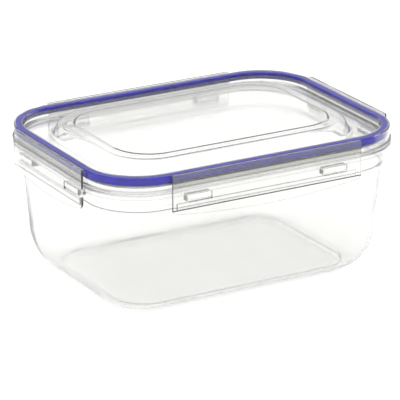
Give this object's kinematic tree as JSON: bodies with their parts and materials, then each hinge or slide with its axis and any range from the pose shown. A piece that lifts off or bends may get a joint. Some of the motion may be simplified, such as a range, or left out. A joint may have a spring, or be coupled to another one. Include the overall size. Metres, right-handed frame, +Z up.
{
  "type": "snap lid food container",
  "caption": "Clear rectangular food container with rounded corners, a clear lid with a hinged snap latch on each side, and a blue gasket.",
  "frame": {"origin": "middle of the foot's outline, on the surface that the container stands on", "axes": "+X along the long side, +Y to the back, +Z up, from the foot to the lid"},
  "size_m": [0.2588, 0.194, 0.1166],
  "materials": {
    "clear_polypropylene": "clear, slightly hazy, glossy",
    "silicone_blue": "deep blue, smooth, slightly translucent"
  },
  "bodies": {
    "tub": {"tub": "clear_polypropylene"},
    "lid": {"lid": "clear_polypropylene", "gasket": "silicone_blue"},
    "hinge_front": {"living_hinge_front": "clear_polypropylene"},
    "latch_front": {"latch_front": "clear_polypropylene"},
    "hinge_back": {"living_hinge_back": "clear_polypropylene"},
    "latch_back": {"latch_back": "clear_polypropylene"},
    "hinge_left": {"living_hinge_left": "clear_polypropylene"},
    "latch_left": {"latch_left": "clear_polypropylene"},
    "hinge_right": {"living_hinge_right": "clear_polypropylene"},
    "latch_right": {"latch_right": "clear_polypropylene"}
  },
  "joints": [
    {"name": "lid_lift", "type": "slide", "parent": "tub", "child": "lid", "axis": [0, 0, 1], "range_m": [0, 0.02]},
    {"name": "hinge_front_bend", "type": "hinge", "parent": "lid", "child": "hinge_front", "pos_m": [0, -0.0943, 0.1133], "axis": [-1, 0, 0], "range_deg": [0, 90]},
    {"name": "latch_front_swing", "type": "hinge", "parent": "hinge_front", "child": "latch_front", "pos_m": [0, -0.09505, 0.1133], "axis": [-1, 0, 0], "range_deg": [0, 90]},
    {"name": "hinge_back_bend", "type": "hinge", "parent": "lid", "child": "hinge_back", "pos_m": [0, 0.0943, 0.1133], "axis": [1, 0, 0], "range_deg": [0, 90]},
    {"name": "latch_back_swing", "type": "hinge", "parent": "hinge_back", "child": "latch_back", "pos_m": [0, 0.09505, 0.1133], "axis": [1, 0, 0], "range_deg": [0, 90]},
    {"name": "hinge_left_bend", "type": "hinge", "parent": "lid", "child": "hinge_left", "pos_m": [-0.1268, 0, 0.1133], "axis": [0, 1, 0], "range_deg": [0, 90]},
    {"name": "latch_left_swing", "type": "hinge", "parent": "hinge_left", "child": "latch_left", "pos_m": [-0.12755, 0, 0.1133], "axis": [0, 1, 0], "range_deg": [0, 90]},
    {"name": "hinge_right_bend", "type": "hinge", "parent": "lid", "child": "hinge_right", "pos_m": [0.1268, 0, 0.1133], "axis": [0, -1, 0], "range_deg": [0, 90]},
    {"name": "latch_right_swing", "type": "hinge", "parent": "hinge_right", "child": "latch_right", "pos_m": [0.12755, 0, 0.1133], "axis": [0, -1, 0], "range_deg": [0, 90]}
  ],
  "couplings": [
    {"joint": "hinge_front_bend", "follows": "lid_lift", "rad_per_m": 78.5},
    {"joint": "hinge_back_bend", "follows": "lid_lift", "rad_per_m": 78.5},
    {"joint": "hinge_left_bend", "follows": "lid_lift", "rad_per_m": 78.5},
    {"joint": "hinge_right_bend", "follows": "lid_lift", "rad_per_m": 78.5}
  ]
}
